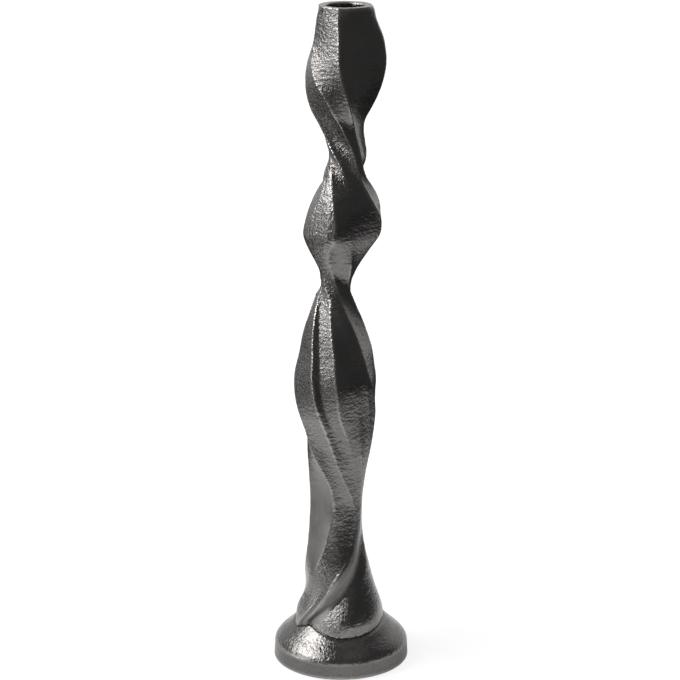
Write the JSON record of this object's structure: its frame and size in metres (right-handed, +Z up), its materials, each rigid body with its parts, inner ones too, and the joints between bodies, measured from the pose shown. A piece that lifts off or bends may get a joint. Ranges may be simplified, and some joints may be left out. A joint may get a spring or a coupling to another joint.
{
  "type": "spiral candle holder",
  "caption": "Tall cast candle holder: a twisted column with three drooping bulges and soft folds, a round candle socket in its rim, on a round domed foot.",
  "frame": {"origin": "on the table, under the middle of the round foot", "axes": "+Z up along the column, -Y towards the front, the side that shows the two long folds crossing the lower bulge"},
  "size_m": [0.0824, 0.0824, 0.4],
  "materials": {
    "cast_metal": "black plated casting, glossy with a fine hammered skin",
    "cast_metal_foot": "black plated casting, glossy with a fine hammered skin",
    "pin_steel": "ground steel pin",
    "screw_steel": "black oxide steel",
    "washer_steel": "zinc plated steel",
    "ballast_steel": "plain rolled steel",
    "pad_rubber": "matte black rubber sheet with a fine cloth print"
  },
  "bodies": {
    "root": {"stem_casting": "cast_metal", "foot_casting": "cast_metal_foot", "locating_pin": "pin_steel", "foot_screw": "screw_steel", "screw_washer": "washer_steel", "ballast_plate": "ballast_steel", "base_pad": "pad_rubber"}
  },
  "joints": []
}
